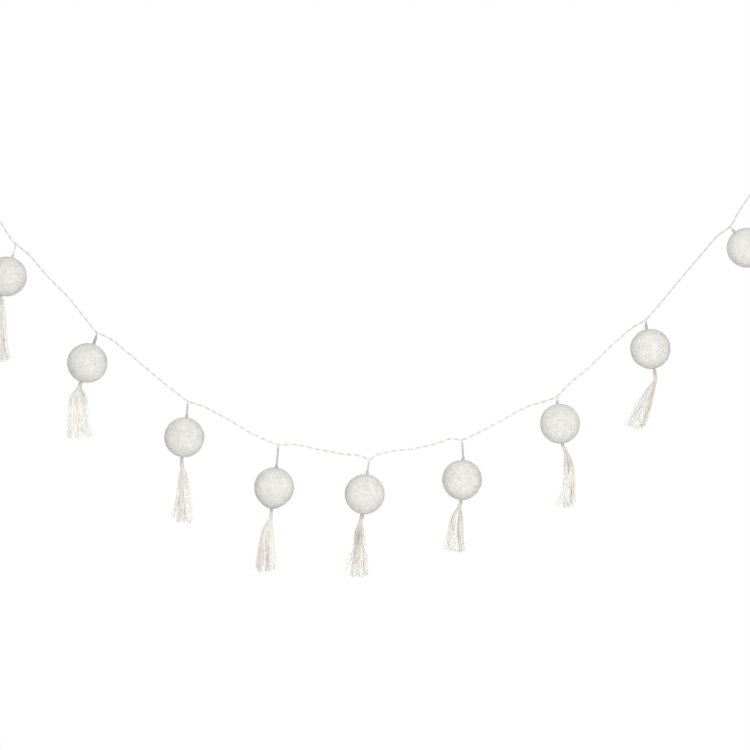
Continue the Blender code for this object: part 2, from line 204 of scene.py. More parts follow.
def turnTo(axis):
    # the turn that takes the upward direction to the given one
    return up.rotation_difference(axis).to_matrix().to_4x4()


def distancesAlong(line):
    # how far along a line each of its points lies
    steps = np.linalg.norm(np.diff(line, axis=0), axis=1)
    return np.concatenate([[0], np.cumsum(steps)])


def slopesOf(points):
    # a smooth line's direction at each of its points
    chords = [after - before for before, after in zip(points, points[1:])]
    slopes = [chords[0].normalized()]
    for before, after in zip(chords, chords[1:]):
        near, far = before.length, after.length
        slopes.append((before * (far / near) + after * (near / far)) / (near + far))
    slopes.append(chords[-1].normalized())
    return slopes


def smoothLine(points, spacing):
    # evenly spaced points, ends included, of a smooth line through the given points
    slopes = slopesOf(points)
    fine = [points[0]]
    for i in range(len(points) - 1):
        chord = (points[i + 1] - points[i]).length
        count = max(8, round(4 * chord / spacing))
        for k in range(1, count + 1):
            t = k / count
            fine.append(
                points[i] * (2 * t**3 - 3 * t**2 + 1)
                + slopes[i] * (chord * (t**3 - 2 * t**2 + t))
                + points[i + 1] * (3 * t**2 - 2 * t**3)
                + slopes[i + 1] * (chord * (t**3 - t**2))
            )
    line = np.array(fine)
    along = distancesAlong(line)
    wanted = np.linspace(0, along[-1], max(2, round(along[-1] / spacing) + 1))
    return np.stack([np.interp(wanted, along, line[:, axis]) for axis in range(3)], axis=1)


def sideways(line):
    # two directions across a line at each of its points, which turn with it but don't twist
    along = np.gradient(line, axis=0)
    along /= np.linalg.norm(along, axis=1)[:, None]
    first = np.cross(along, (0, 1, 0))
    if np.linalg.norm(first, axis=1).min() < 0.2:    # the line runs nearly from front to back somewhere
        first = np.cross(along, (1, 0, 0))
    first /= np.linalg.norm(first, axis=1)[:, None]
    return first, np.cross(along, first)


def twistedLines(line, spread, pitch):
    # the middle lines of two wires twisted round a line
    turn = distancesAlong(line) / pitch * math.tau
    first, second = sideways(line)
    return [
        line + spread * (first * np.cos(angle)[:, None] + second * np.sin(angle)[:, None])
        for angle in (turn, turn + math.pi)
    ]


def rewriteUv(piece, lengths):
    # a UV map of the share along and the share around becomes one of the turns around and the metres along
    mesh = piece.data
    corners = np.empty(len(mesh.loops), dtype=np.int32)
    mesh.loops.foreach_get("vertex_index", corners)
    uv = np.empty(len(mesh.loops) * 2, dtype=np.float32)
    mesh.uv_layers[0].uv.foreach_get("vector", uv)
    turned = np.stack([uv[1::2], uv[0::2] * lengths[corners]], axis=1)
    mesh.uv_layers[0].uv.foreach_set("vector", turned.ravel())
    mesh.uv_layers[0].name = "UVMap"


def threads(name, lines, radius, sides=8, radii=None, tints=None):
    # closed round threads along lines
    curve = bpy.data.curves.new(name, "CURVE")
    curve.dimensions = "3D"
    curve.bevel_depth = radius
    curve.bevel_resolution = sides // 2 - 2    # a round section of this many sides
    curve.use_fill_caps = True
    for i, line in enumerate(lines):
        spline = curve.splines.new("POLY")
        spline.points.add(len(line) - 1)
        spline.points.foreach_set("co", np.column_stack([line, np.ones(len(line))]).ravel())
        if radii is not None:
            spline.points.foreach_set("radius", np.asarray(radii[i], dtype=np.float32))
    piece = bpy.data.objects.new(name, curve)
    bpy.context.scene.collection.objects.link(piece)
    takeHold(piece)
    bpy.ops.object.convert(target="MESH")
    piece = bpy.context.object
    # the mesh holds the end caps first, from the last line to the first, and then the rings in order
    shades = [np.broadcast_to(0.5 if tints is None else tints[i], len(line)) for i, line in enumerate(lines)]
    shades = [shade[[-1, 0]] for shade in reversed(shades)] + shades
    lengths = [np.full(len(line), distancesAlong(line)[-1]) for line in lines]
    lengths = [length[:2] for length in reversed(lengths)] + lengths
    addTint(piece, np.repeat(np.concatenate(shades), sides))
    rewriteUv(piece, np.repeat(np.concatenate(lengths), sides))
    bpy.ops.object.mode_set(mode="EDIT")
    bpy.ops.mesh.select_all(action="SELECT")
    bpy.ops.mesh.remove_doubles(threshold=0.001 * mm)    # joins the caps to the rings
    bpy.ops.object.mode_set(mode="OBJECT")
    bpy.ops.object.shade_smooth()
    return piece


# Materials: shader maths written as Python

class Flow:
    # a socket of a node tree, so that sums on it add its Math nodes
    def __init__(self, board, socket):
        self.board = board
        self.socket = socket

    def maths(self, operation, first, second):
        return self.board.node("ShaderNodeMath", {"operation": operation}, {0: first, 1: second})

    def __add__(self, other):
        return self.maths("ADD", self, other)

    def __radd__(self, other):
        return self.maths("ADD", other, self)

    def __sub__(self, other):
        return self.maths("SUBTRACT", self, other)

    def __rsub__(self, other):
        return self.maths("SUBTRACT", other, self)

    def __mul__(self, other):
        return self.maths("MULTIPLY", self, other)

    def __rmul__(self, other):
        return self.maths("MULTIPLY", other, self)


class Board:
    # the node tree of a material or of the world
    def __init__(self, owner):
        owner.use_nodes = True
        self.owner = owner
        self.tree = owner.node_tree

    def node(self, kind, settings=None, sockets=None, output=0):
        made = self.tree.nodes.new(kind)
        for name, value in (settings or {}).items():
            setattr(made, name, value)
        self.feed(made, sockets or {})
        return Flow(self, made.outputs[output])

    def feed(self, made, sockets):
        for name, value in sockets.items():
            if isinstance(value, Flow):
                self.tree.links.new(value.socket, made.inputs[name])
            else:
                made.inputs[name].default_value = value

    def tint(self):
        return self.node("ShaderNodeAttribute", {"attribute_name": "tint"}, output="Fac")

    def noise(self, scale, detail=2):
        place = self.node("ShaderNodeTexCoord", output="Object")
        sockets = {"Vector": place, "Scale": scale, "Detail": detail}
        return self.node("ShaderNodeTexNoise", {}, sockets, output="Fac")

    def spread(self, value, low, high, newLow=0, newHigh=1):
        sockets = {"Value": value, "From Min": low, "From Max": high, "To Min": newLow, "To Max": newHigh}
        return self.node("ShaderNodeMapRange", {"clamp": True}, sockets)

    def mixColours(self, share, first, second):
        # a Mix node's colours are its sockets 6 and 7, and its output 2
        sockets = {0: share, 6: (*first, 1), 7: (*second, 1)}
        return self.node("ShaderNodeMix", {"data_type": "RGBA"}, sockets, output=2)

    def ply(self, turnsPerMetre):
        # the slanting ridges of a twisted yarn, from its UV map
        sockets = {"Vector": self.node("ShaderNodeUVMap", {"uv_map": "UVMap"})}
        around = self.node("ShaderNodeSeparateXYZ", {}, sockets, output="X")
        along = self.node("ShaderNodeSeparateXYZ", {}, sockets, output="Y")
        angle = (around * 2 + along * turnsPerMetre) * math.tau
        return self.node("ShaderNodeMath", {"operation": "SINE"}, {0: angle})

    def bump(self, height, finish):
        sockets = {"Height": height, "Distance": finish["bumpDepth"], "Strength": finish["bumpStrength"]}
        return self.node("ShaderNodeBump", {}, sockets)

    def finish(self, **sockets):
        names = {"colour": "Base Color", "roughness": "Roughness", "normal": "Normal"}
        self.feed(self.tree.nodes["Principled BSDF"], {names[name]: value for name, value in sockets.items()})
        return self.owner


noiseSpan = (0.3, 0.7)       # nearly all of a noise texture's values lie between these
threadFinish = {
    "light": (0.78, 0.768, 0.735),
    "deep": (0.67, 0.655, 0.62),
    "colourSpan": (0.1, 0.85),     # the shades at which it is all deep and all light
    "tintShare": 0.5,
    "patchShare": 0.4,
    "patchScale": 110,             # patches about 9 mm across
    "fibreShare": 0.1,
    "fibreScale": 2600,
    "fibreHeight": 0.6,
    "pliesPerMetre": 900,
    "plyHeight": 0.5,
    "roughness": (0.78, 0.95),
    "bumpDepth": 0.08 * mm,
    "bumpStrength": 0.5,
}


def woundThreadMaterial():
    finish = threadFinish
    board = Board(bpy.data.materials.new("woundThread"))
    patches = board.spread(board.noise(finish["patchScale"], detail=3), *noiseSpan) * finish["patchShare"]
    fibres = board.noise(finish["fibreScale"])
    shade = board.tint() * finish["tintShare"] + patches + fibres * finish["fibreShare"]
    height = board.ply(finish["pliesPerMetre"]) * finish["plyHeight"] + fibres * finish["fibreHeight"]
    return board.finish(
        colour=board.mixColours(board.spread(shade, *finish["colourSpan"]), finish["deep"], finish["light"]),
        roughness=board.spread(fibres, *noiseSpan, *finish["roughness"]),
        normal=board.bump(height, finish),
    )


yarnFinish = {
    "light": (0.97, 0.95, 0.91),
    "deep": (0.62, 0.585, 0.53),
    # the binding's colours are darker than the yarns', partly as painted shade beneath the ball
    "bindingLight": (0.64, 0.615, 0.57),
    "bindingDeep": (0.50, 0.475, 0.435),
    "patchShare": 0.2,
    "patchScale": 140,
    "fibreShare": 0.15,
    "fibreScale": 2200,
    "fibreHeight": 0.4,
    "pliesPerMetre": 420,
    "plyPaintedShade": 0.12,
    "plyHeight": 0.7,
    "roughness": (0.8, 0.96),
    "bumpDepth": 0.2 * mm,
    "bumpStrength": 0.7,
}


def yarnMaterial(name, light, deep):
    finish = yarnFinish
    board = Board(bpy.data.materials.new(name))
    ply = board.ply(finish["pliesPerMetre"])
    fibres = board.noise(finish["fibreScale"], detail=3)
    patches = (board.noise(finish["patchScale"]) - 0.5) * finish["patchShare"]
    # the ply adds painted shade in the grooves between the plies and paler painted ridges
    shade = board.tint() + patches + (fibres - 0.5) * finish["fibreShare"] + ply * finish["plyPaintedShade"]
    return board.finish(
        colour=board.mixColours(board.spread(shade, 0, 1), deep, light),
        roughness=board.spread(fibres, *noiseSpan, *finish["roughness"]),
        normal=board.bump(ply * finish["plyHeight"] + fibres * finish["fibreHeight"], finish),
    )


plasticFinish = {
    "cord": dict(light=(0.74, 0.74, 0.73), deep=(0.58, 0.58, 0.57), roughness=(0.20, 0.36)),
    "stem": dict(light=(0.68, 0.68, 0.665), deep=(0.40, 0.40, 0.39), roughness=(0.26, 0.42)),
    "sleeve": dict(light=(0.56, 0.56, 0.545), deep=(0.34, 0.34, 0.33), roughness=(0.36, 0.52)),
    "patchShare": 0.8,
    "patchScale": 120,
    "fineScale": 1400,
    "bumpDepth": 0.04 * mm,
    "bumpStrength": 0.5,
}


def plasticMaterial(name):
    finish, own = plasticFinish, plasticFinish[name]
    board = Board(bpy.data.materials.new(name + "Plastic"))
    fine = board.noise(finish["fineScale"])
    shade = board.tint() + (board.noise(finish["patchScale"], detail=3) - 0.5) * finish["patchShare"]
    return board.finish(
        colour=board.mixColours(board.spread(shade, 0, 1), own["deep"], own["light"]),
        roughness=board.spread(fine, *noiseSpan, *own["roughness"]),
        normal=board.bump(fine, finish),
    )


woundThread = woundThreadMaterial()
creamYarn = yarnMaterial("creamYarn", yarnFinish["light"], yarnFinish["deep"])
bindingThread = yarnMaterial("bindingThread", yarnFinish["bindingLight"], yarnFinish["bindingDeep"])
cordPlastic = plasticMaterial("cord")
stemPlastic = plasticMaterial("stem")
sleevePlastic = plasticMaterial("sleeve")
print("materials made")


# The cord: two clear insulated wires twisted together

cordPlan = {
    "wireRadius": 0.68 * mm,
    "spread": 0.72 * mm,     # from the pair's middle to each wire's
    "width": 2.2 * mm,       # as declared, between the pair seen flat and seen edge on
    "pitch": 24 * mm,
    "step": 1.5 * mm,
    "tuck": 1.2 * mm,        # how far its ends go into the end loops' bindings
    "crossingPower": 1.5,    # the higher, the shorter the pale stretch of painted highlight at each crossing
    "paintedShading": [(0.1, 0.6), (0.35, 1), (0.8, 1), (0.95, 0.6), (1.02, 0.5), (1.06, 0)],    # x, share
}
loopPlan = {
    "wrapLength": 9 * mm,
    "wrapRadius": 2.9 * mm,
    "wireRadius": 0.55 * mm,
    "pitch": 16 * mm,
    "step": 1.2 * mm,
    "bindingRadius": 0.5 * mm,
    "turnSteps": 20,
    "coreSides": 20,
    "coreRound": 0.8 * mm,
    "coreTint": 0.4,
    "reach": 1.1 * mm,       # from the eye's middle line to its inner side
    "eyeHalf": [(1.3, -5), (1.3, 0), (4.6, 5.5), (7, 11.5), (5.2, 17.6), (0, 20)],
}


def cordEnd(hook, neighbour):
    # the direction in which the cord runs to a hook, and where its end loop begins
    axis = (hook - neighbour).normalized()
    eyeLength = loopPlan["eyeHalf"][-1][1] * mm
    return axis, hook - axis * (pieceGap + loopPlan["wrapLength"] + eyeLength - loopPlan["reach"])


innerRoute = [Vector((x, 0, z)) * mm for x, z in routePlan]
leftAxis, leftEnd = cordEnd(hooks["left"], innerRoute[0])
rightAxis, rightEnd = cordEnd(hooks["right"], innerRoute[-1])
route = [leftEnd + leftAxis * cordPlan["tuck"], *innerRoute, rightEnd + rightAxis * cordPlan["tuck"]]
routeSlopes = slopesOf(route)
cordLine = smoothLine(route, cordPlan["step"])
cordWires = twistedLines(cordLine, cordPlan["spread"], cordPlan["pitch"])
# painted light: the wires are painted palest where one lies in front of the other, as a painted highlight,
# and painted greyer toward the cord's ends, as painted shade
crossing = np.abs(cordWires[0] - cordWires[1])[:, 1] / (2 * cordPlan["spread"])
# painted highlight at the crossings times painted shade toward the ends
paintedShading = crossing ** cordPlan["crossingPower"] * np.interp(cordLine[:, 0], *zip(*cordPlan["paintedShading"]))
cordPair = threads("twistedCord", cordWires, cordPlan["wireRadius"], tints=[paintedShading, paintedShading])
wear(cordPair, cordPlastic)
bodyPiece(cordPair, "cord")


# The end loops: the pair turned back into a small eye and bound

def makeLoop(name, node, axis, end):
    wrapTop = pieceGap + loopPlan["wrapLength"]
    half = [Vector((x * mm, 0, z * mm + wrapTop)) for x, z in loopPlan["eyeHalf"]]
    outline = half + [Vector((-point.x, 0, point.z)) for point in reversed(half[:-1])]
    wireRadius = loopPlan["wireRadius"]
    eyeLine = smoothLine(outline, loopPlan["step"])
    eye = threads("eye", twistedLines(eyeLine, wireRadius, loopPlan["pitch"]), wireRadius)

    binding = loopPlan["bindingRadius"]
    coilRadius = loopPlan["wrapRadius"] - binding
    turns = loopPlan["wrapLength"] / (2 * binding) - 1
    angles = np.linspace(0, turns * math.tau, round(turns * loopPlan["turnSteps"]))
    heights = np.linspace(pieceGap + binding, wrapTop - binding, len(angles))
    coil = np.stack([coilRadius * np.cos(angles), coilRadius * np.sin(angles), heights], axis=1)
    binder = threads("binding", [coil], binding)

    # a plug of plastic inside the binding, rounded at both ends
    bpy.ops.mesh.primitive_cylinder_add(
        vertices=loopPlan["coreSides"], radius=coilRadius, depth=loopPlan["wrapLength"] - 2 * binding,
        location=(0, 0, pieceGap + loopPlan["wrapLength"] / 2),
    )
    core = bpy.context.object
    freeze(core)
    bevelEdges(core, loopPlan["coreRound"], 3)
    tintEvenly(core, loopPlan["coreTint"])

    loop = joinAll(name, [eye, binder, core])
    loop.data.transform(Matrix.Translation(end) @ turnTo(axis))
    wear(loop, cordPlastic)
    bodyPiece(loop, node)


makeLoop("boundLoopLeft", "loop_left", leftAxis, leftEnd)
makeLoop("boundLoopRight", "loop_right", rightAxis, rightEnd)
print("end loops bound")


# The stems: a wire wrapped round the cord and twisted down to a sleeve on the ball

stemPlan = {
    "dropRadius": 0.82 * mm,
    "spread": 0.72 * mm,
    "pitch": 7 * mm,
    "step": 0.7 * mm,
    "hitchWire": 0.56 * mm,
    "hitchRadius": 1.75 * mm,
    "hitchWidth": 1.3 * mm,
    "hitchTurns": 2,
    "turnSteps": 16,
    "bendDrop": 0.5 * mm,        # from the hitch down to where the twist starts
    "cornerReach": 4,            # points on each side of a corner that are rounded with it
    "cornerPasses": 4,
    "blendPoints": 7,            # over which the wire's width and shade change at the hitch
    "tuck": 1.2 * mm,            # how far the wire goes into the sleeve
}
sleevePlan = {
    "sides": 24,
    "radius": 2.15 * mm,
    "topRadius": 1.75 * mm,
    "straightShare": 0.7,        # of its length, below the drawn-in top
    "rim": 0.25 * mm,
    "recess": 0.3 * mm,
    "bevel": 0.25 * mm,
}
ballPlan = {
    "seed": 100,
    "radius": 30 * mm,
    "poleRadius": 4 * mm,        # of the small flat where the stem and the tassel meet the part's ball
    "shellRadius": 29.2 * mm,
    "layerRadii": (29.0 * mm, 29.12 * mm, 29.24 * mm, 29.36 * mm),
    "layerSpread": 0.08 * mm,
    "threadRadius": 0.4 * mm,
    "loopSteps": 44,
    "bands": 31,                 # of threads that lie side by side
    "bandLean": 0.1,
    "bandThreads": 6,
    "bandSpacing": 1.1 * mm,
    "spacingSpread": (0.85, 1.2),
    "threadLean": 0.014,
    "loners": 66,                # threads on their own
    "lonerRise": 0.12 * mm,      # how far they lie outside the layers
    "furthestOff": 8 * mm,
    "tint": (0.62, 0.14),        # middle and spread
    "lumps": 0.35 * mm,
    "lumpWaves": 6,
    "lumpTurns": 3.2,
    "drawPower": 6,              # how steeply a drawn-out lower end narrows
}


def lightAxis(light):
    lean = math.radians(light["lean"])
    return Vector((-math.sin(lean), 0, math.cos(lean)))


def ballMiddle(light):
    return Vector((light["ballX"], 0, light["ballZ"])) * mm


def poleHeights(light):
    # how far above and below the ball's middle its stem and its tassel meet it
    reach = math.sqrt(ballPlan["radius"] ** 2 - ballPlan["poleRadius"] ** 2)
    drawn = light["pinch"] * mm * (reach / ballPlan["radius"]) ** ballPlan["drawPower"]
    return reach, reach + drawn


def makeSleeve(place, length, shade):
    # a soft moulded sleeve: a cylinder drawn in at its top, with a recess where the wire goes in
    straight = length * sleevePlan["straightShare"]
    bpy.ops.mesh.primitive_cylinder_add(
        vertices=sleevePlan["sides"], radius=sleevePlan["radius"],
        depth=straight, location=(0, 0, straight / 2),
    )
    sleeve = bpy.context.object
    freeze(sleeve)
    bpy.ops.object.mode_set(mode="EDIT")
    bpy.ops.mesh.select_all(action="DESELECT")
    bpy.ops.object.mode_set(mode="OBJECT")
    for face in sleeve.data.polygons:
        face.select = face.normal.z > 0.9
    bpy.ops.object.mode_set(mode="EDIT")
    narrow = sleevePlan["topRadius"] / sleevePlan["radius"]
    bpy.ops.mesh.extrude_region_move(TRANSFORM_OT_translate={"value": (0, 0, length - straight)})
    bpy.ops.transform.resize(value=(narrow, narrow, 1), center_override=(0, 0, length))
    bpy.ops.mesh.inset(thickness=sleevePlan["rim"], depth=0)
    bpy.ops.mesh.extrude_region_move(TRANSFORM_OT_translate={"value": (0, 0, -sleevePlan["recess"])})
    bpy.ops.object.mode_set(mode="OBJECT")
    bevelEdges(sleeve, sleevePlan["bevel"], 2)
    tintEvenly(sleeve, shade)
    sleeve.data.transform(place)
    return sleeve


def hitchPoints(joint, along, radial, side):
    # round the cord, from the side where the stem hangs and back to it
    count = stemPlan["hitchTurns"] * stemPlan["turnSteps"]
    points = []
    for k in range(count + 1):
        share = k / count
        angle = math.tau * stemPlan["hitchTurns"] * share
        shift = along * ((share - 0.5) * stemPlan["hitchWidth"])
        out = radial * math.cos(angle) + side * math.sin(angle)
        points.append(joint + shift + out * stemPlan["hitchRadius"])
    return np.array(points)


def roundCorner(wire, corner):
    # eases the wire's points near a corner, in place
    reach = stemPlan["cornerReach"]
    for _ in range(stemPlan["cornerPasses"]):
        rounded = (wire[:-2] + 2 * wire[1:-1] + wire[2:]) / 4
        wire[corner - reach:corner + reach] = rounded[corner - reach - 1:corner + reach - 1]


def makeStem(number, light):
    axis = lightAxis(light)
    joint = route[light["joint"] + 1]
    along = routeSlopes[light["joint"] + 1].normalized()
    foot = ballMiddle(light) + axis * (poleHeights(light)[0] + pieceGap)
    down = (foot - joint).normalized()
    radial = (down - along * down.dot(along)).normalized()

    # one wire: up from the sleeve, round the cord, and back down twisted on itself
    bend = joint + down * (stemPlan["hitchRadius"] + stemPlan["bendDrop"])
    sleeveLength = light["sleeve"] * mm
    dropLine = smoothLine([bend, foot + axis * (sleeveLength - stemPlan["tuck"])], stemPlan["step"])
    first, second = twistedLines(dropLine, stemPlan["spread"] * light["width"], stemPlan["pitch"])
    wire = np.concatenate([first[::-1], hitchPoints(joint, along, radial, along.cross(radial)), second])
    for corner in (len(first), len(wire) - len(second)):
        roundCorner(wire, corner)

    # the hitch is thinner and paler than the drop
    inHitch = np.zeros(len(wire))
    inHitch[len(first):-len(second)] = 1
    blend = stemPlan["blendPoints"]
    inHitch = np.convolve(inHitch, np.ones(blend) / blend, mode="same")
    radii = np.interp(inHitch, (0, 1), (light["width"], stemPlan["hitchWire"] / stemPlan["dropRadius"]))
    tints = np.interp(inHitch, (0, 1), (light["shade"], 1))
    drop = threads("drop", [wire], stemPlan["dropRadius"], radii=[radii], tints=[tints])
    sleeve = makeSleeve(Matrix.Translation(foot) @ turnTo(axis), sleeveLength, light["shade"])
    wear(drop, stemPlastic)
    wear(sleeve, sleevePlastic)
    stem = joinAll(f"twistedStem_{number}", [drop, sleeve])
    bodyPiece(stem, f"stem_{number}")


for number, light in enumerate(lightPlan, start=1):
    makeStem(number, light)
print("stems hitched to the cord")


# The balls: a shell under many loops of wound thread

def makeWinding():
    # one loop of thread, three sided, with its sharp side out
    radius = ballPlan["radius"]
    bpy.ops.mesh.primitive_torus_add(
        major_radius=radius, minor_radius=ballPlan["threadRadius"],
        major_segments=ballPlan["loopSteps"], minor_segments=3, generate_uvs=True,
    )
    winding = bpy.context.object
    bpy.ops.object.shade_smooth()
    rewriteUv(winding, np.full(len(winding.data.vertices), math.tau * radius))
    return winding


def chanceVector(chance, spread):
    return Vector([chance.gauss(0, spread) for _ in range(3)])


def windingPlaces(number, chance):
    # where each loop lies: its axis, how far it is off the ball's middle, and its layer's radius
    places = []
    for band in range(ballPlan["bands"]):
        height, turn = (band + 0.5) / ballPlan["bands"], band * goldenAngle + number
        flat = math.sqrt(1 - height**2)
        axis = Vector((flat * math.cos(turn), flat * math.sin(turn), height))
        axis = (axis + chanceVector(chance, ballPlan["bandLean"])).normalized()
        off = chance.uniform(-1, 1) * ballPlan["furthestOff"]
        layer = chance.choice(ballPlan["layerRadii"])
        for k in range(ballPlan["bandThreads"]):
            lean = chanceVector(chance, ballPlan["threadLean"])
            spacing = ballPlan["bandSpacing"] * chance.uniform(*ballPlan["spacingSpread"])
            away = off + (k - ballPlan["bandThreads"] / 2) * spacing
            radius = layer + chance.uniform(-1, 1) * ballPlan["layerSpread"]
            places.append(((axis + lean).normalized(), away, radius))
    for _ in range(ballPlan["loners"]):
        axis = chanceVector(chance, 1).normalized()
        away = chance.uniform(-1, 1) * ballPlan["furthestOff"]
        places.append((axis, away, chance.choice(ballPlan["layerRadii"]) + ballPlan["lonerRise"]))
    return places


def addLumps(points, chance):
    # gentle waves in and out, in place
    radius = ballPlan["radius"]
    waves = np.zeros(len(points))
    for _ in range(ballPlan["lumpWaves"]):
        direction = np.array(chanceVector(chance, 1))
        waves += np.sin(points @ direction / radius * ballPlan["lumpTurns"] + chance.uniform(0, math.tau))
    points *= (1 + waves / ballPlan["lumpWaves"] * ballPlan["lumps"] / radius)[:, None]


def makeBall(number, light, winding):
    chance = random.Random(ballPlan["seed"] + number)
    bpy.ops.mesh.primitive_ico_sphere_add(subdivisions=4, radius=ballPlan["shellRadius"])
    shell = bpy.context.object
    bpy.ops.object.shade_smooth()
    shell.data.uv_layers[0].name = "UVMap"
    # painted shade: the shell under the threads is painted at the deepest shade, for the depth between the
    # threads
    tintEvenly(shell, 0)
    loops = [shell]
    for axis, away, layer in windingPlaces(number, chance):
        thread = winding.copy()
        thread.data = winding.data.copy()
        bpy.context.scene.collection.objects.link(thread)
        size = math.sqrt(layer**2 - away**2) / ballPlan["radius"]
        spin = Matrix.Rotation(chance.uniform(0, math.tau), 4, "Z")
        thread.data.transform(Matrix.Translation(axis * away) @ turnTo(axis) @ spin @ Matrix.Scale(size, 4))
        tintEvenly(thread, min(1, max(0, chance.gauss(*ballPlan["tint"]))))
        loops.append(thread)
    ball = joinAll(f"woundBall_{number}", loops)

    # its lumps and its drawn-out lower end, then its lean and its place
    mesh = ball.data
    points = np.empty(len(mesh.vertices) * 3)
    mesh.vertices.foreach_get("co", points)
    points = points.reshape(-1, 3)
    addLumps(points, chance)
    low = points[:, 2] < 0
    drawn = (points[low, 2] / ballPlan["radius"]) ** ballPlan["drawPower"]
    points[low, 2] -= light["pinch"] * mm * drawn
    mesh.vertices.foreach_set("co", points.ravel())
    mesh.transform(Matrix.Translation(ballMiddle(light)) @ turnTo(lightAxis(light)))
    wear(ball, woundThread)
    bodyPiece(ball, f"ball_{number}")


winding = makeWinding()
for number, light in enumerate(lightPlan, start=1):
    makeBall(number, light, winding)
bpy.data.objects.remove(winding)
print("balls wound")


# The tassels: loose yarns bound under each ball, which fall in separate locks

yarnPlan = {
    "seed": 500,
    "radius": 0.6 * mm,
    "sizes": (0.85, 1.15),           # the thinnest and the thickest yarn, as shares of the radius
    "endSizes": (0.7, 0.75),         # a yarn's thickness at the ball and at the hem, as a share
    "share": 0.95,                   # of the yarns in tasselPlan
    "spacing": 4.2 * mm,
    "rootHalf": 1.1 * mm,
    "neckHalf": 2.4 * mm,
    "paintedNeckShade": (0.06, -0.15),      # share of the length, and the painted shade of the yarns at the neck under the ball
    "shadePlaces": (0.2, 0.3, 0.55, 0.9),    # shares of the length where a tassel's shades are given
    "shadeSpread": 0.06,
    "openShares": (0.8, 0.4, 0.75),  # of a lock's half width, shift and depth, where it opens out
    "openPlace": 0.15,               # share of the length below the neck
    "middleShift": 0.7,              # share of a lock's shift that it has at its middle
    "middlePlace": 0.55,             # share of the length
    "lockHalf": (3.0 * mm, 3.6 * mm),        # sideways, at the middle and at the hem
    "lockDepth": (5.5 * mm, 7.5 * mm),
    "depthShift": 4.5 * mm,
    "ragged": 0.08,
    "raggedPower": 1.8,
    "strayShare": 0.06,
    "strayReach": (1.4, 2.4),
    "swing": (1.6, -0.16),           # the waves' strength along a yarn: its rise, and its value at the ball
    "wave": 1.0 * mm,
    "waveTurns": (5, 9),             # in radians along the whole yarn
    "crinkle": 0.34 * mm,
    "crinkleTurns": (34, 52),
}
bindingPlan = {
    "thread": 0.42 * mm,
    "turnRise": 1.8,                 # from turn to turn, in radii of the thread
    "turnSteps": 14,
    "straight": 4 * mm,              # below the ball, before the neck bends to the side
    "step": 0.1 * mm,
    "belly": 0.32,                   # how much it swells toward its middle
    "tint": 0.4,
}


def yarnLine(top, axis, tassel, lock, spot, shift, chance):
    # the middle line of one yarn, from the ball to the hem
    length = tassel["length"] * mm
    neckX, neckDrop = tassel["neck"]
    reach = lock.reach - chance.random() ** yarnPlan["raggedPower"] * yarnPlan["ragged"]
    stray = chance.uniform(*yarnPlan["strayReach"]) if chance.random() < yarnPlan["strayShare"] else 1
    halfMiddle, halfHem = yarnPlan["lockHalf"]
    depthMiddle, depthHem = yarnPlan["lockDepth"]
    openHalf, openShift, openDepth = yarnPlan["openShares"]
    openX = neckX + (lock.middle - neckX) * tassel["opening"]
    right, back = spot
    points = [
        top + axis * pieceGap + Vector((right, back, 0)) * yarnPlan["rootHalf"],
        top + Vector((
            neckX * mm + right * yarnPlan["neckHalf"],
            back * yarnPlan["neckHalf"],
            -neckDrop * mm)),
        top + Vector((
            openX * mm + right * halfMiddle * openHalf,
            shift * openShift + back * depthMiddle * openDepth,
            -length * yarnPlan["openPlace"] - neckDrop * mm)),
        top + Vector((
            lock.middle * mm + right * halfMiddle,
            shift * yarnPlan["middleShift"] + back * depthMiddle,
            -length * yarnPlan["middlePlace"])),
        top + Vector((
            lock.hem * mm + right * halfHem * stray,
            shift + back * depthHem * stray,
            -length * reach)),
    ]
    line = smoothLine(points, yarnPlan["spacing"])
    share = np.linspace(0, 1, len(line))
    rate, start = yarnPlan["swing"]
    swing = np.clip(share * rate + start, 0, 1)
    for way in (0, 1):    # sideways, then in depth
        slow, quick = chance.uniform(*yarnPlan["waveTurns"]), chance.uniform(*yarnPlan["crinkleTurns"])
        waveTurn, crinkleTurn = chance.uniform(0, math.tau), chance.uniform(0, math.tau)
        wave = np.sin(share * slow + waveTurn) - math.sin(waveTurn)
        line[:, way] += swing * yarnPlan["wave"] * wave
        line[:, way] += swing * yarnPlan["crinkle"] * np.sin(share * quick + crinkleTurn)
    return line


def makeBinding(top, axis, tassel):
    # thread wound tightly round the yarns below the ball, fullest at its middle
    length, radius = (value * mm for value in tassel["binding"])
    neckX, neckDrop = tassel["neck"]
    thread, belly = bindingPlan["thread"], bindingPlan["belly"]
    neckEnd = top + Vector((neckX, 0, -neckDrop)) * mm
    neckPoints = [top + axis * pieceGap, top - axis * bindingPlan["straight"], neckEnd]
    neckLine = smoothLine(neckPoints, bindingPlan["step"])
    first, second = sideways(neckLine)
    turns = length / (bindingPlan["turnRise"] * thread)
    steps = int(turns * bindingPlan["turnSteps"])
    wound = []
    for k in range(steps + 1):
        share = k / steps
        at = min(len(neckLine) - 1, round((thread + share * (length - 2 * thread)) / bindingPlan["step"]))
        angle = share * turns * math.tau
        width = radius * (1 - belly + belly * math.sin(math.pi * (0.1 + 0.8 * share))) - thread
        wound.append(neckLine[at] + width * (first[at] * math.cos(angle) + second[at] * math.sin(angle)))
    return threads("binding", [np.array(wound)], thread, sides=6, tints=[bindingPlan["tint"]])


